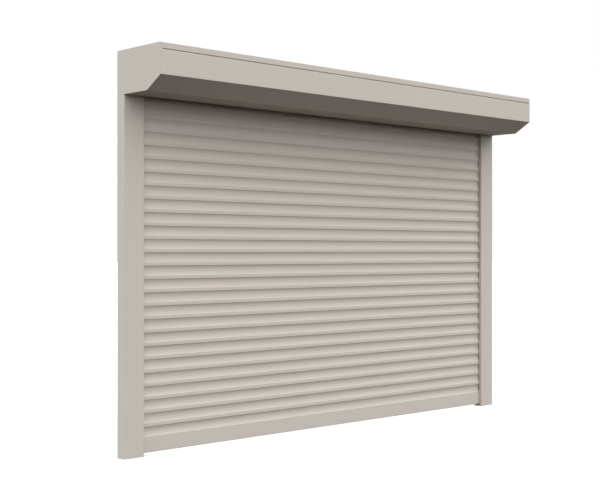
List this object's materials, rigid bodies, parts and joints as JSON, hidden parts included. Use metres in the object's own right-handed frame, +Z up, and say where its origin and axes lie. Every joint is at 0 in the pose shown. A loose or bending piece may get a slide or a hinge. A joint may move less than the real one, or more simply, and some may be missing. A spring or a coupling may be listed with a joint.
{
  "type": "roller shutter door",
  "caption": "Surface-mounted roller shutter door: curtain of hollow-curved slats in two box-section guide rails, wound by a tubular motor in a chamfered box above.",
  "frame": {"origin": "on the floor at the rail feet, in the middle of the door's width and of the box's depth", "axes": "+X along the door to the motor end, +Y into the wall, +Z up"},
  "size_m": [3.37, 0.41, 2.3],
  "materials": {
    "painted_slat": "satin paint, warm light grey",
    "painted_case": "satin paint, warm light grey",
    "painted_casting": "satin paint, warm light grey",
    "zinc_steel": "zinc-plated",
    "spring_steel": "blued",
    "bearing_steel": "ground",
    "motor_tube": "satin paint, dark grey",
    "grey_plastic": "moulded",
    "black_plastic": "moulded",
    "cover_plastic": "moulded, matched to the paint",
    "black_rubber": "matt"
  },
  "bodies": {
    "frame": {"guide_rail_left": "painted_case", "guide_rail_right": "painted_case", "glide_strips_left": "black_plastic", "glide_strips_right": "black_plastic", "rail_hole_plugs": "cover_plastic", "rail_foot_plugs": "black_plastic", "inlet_funnels": "black_plastic", "end_cap_left": "painted_casting", "end_cap_right": "painted_casting", "top_cover": "painted_case", "front_cover": "painted_case", "cover_screws": "zinc_steel", "cable_grommet": "black_rubber", "motor_body": "motor_tube", "motor_head": "black_plastic", "motor_bracket": "zinc_steel", "bearing_bracket": "zinc_steel", "bearing_outer_ring": "bearing_steel", "bearing_shields": "bearing_steel", "bracket_screws": "zinc_steel"},
    "curtain": {"slat_01": "painted_slat", "slat_02": "painted_slat", "slat_03": "painted_slat", "slat_04": "painted_slat", "slat_05": "painted_slat", "slat_06": "painted_slat", "slat_07": "painted_slat", "slat_08": "painted_slat", "slat_09": "painted_slat", "slat_10": "painted_slat", "slat_11": "painted_slat", "slat_12": "painted_slat", "slat_13": "painted_slat", "slat_14": "painted_slat", "slat_15": "painted_slat", "slat_16": "painted_slat", "slat_17": "painted_slat", "slat_18": "painted_slat", "slat_19": "painted_slat", "slat_20": "painted_slat", "slat_21": "painted_slat", "slat_22": "painted_slat", "slat_23": "painted_slat", "slat_24": "painted_slat", "slat_25": "painted_slat", "slat_26": "painted_slat", "slat_end_locks": "grey_plastic", "bottom_bar": "painted_slat", "bottom_bar_seal": "black_rubber", "bottom_bar_end_caps": "grey_plastic", "strap_clips": "painted_slat", "hanging_straps": "spring_steel"},
    "drum": {"drum_tube": "zinc_steel", "limit_ring": "grey_plastic", "drive_wheel": "grey_plastic", "motor_shaft": "zinc_steel", "idler_cap": "grey_plastic", "idler_pin": "zinc_steel", "bearing_inner_ring": "bearing_steel"}
  },
  "joints": [
    {"name": "curtain_lift", "type": "slide", "parent": "frame", "child": "curtain", "axis": [0, 0, 1], "range_m": [0, 0.11], "deforming": ["hanging_straps"]},
    {"name": "drum_turn", "type": "hinge", "parent": "frame", "child": "drum", "pos_m": [0, 0.065, 2.175], "axis": [1, 0, 0], "range_deg": [0, 118]}
  ],
  "couplings": [
    {"joint": "drum_turn", "follows": "curtain_lift", "rad_per_m": 18.589}
  ]
}
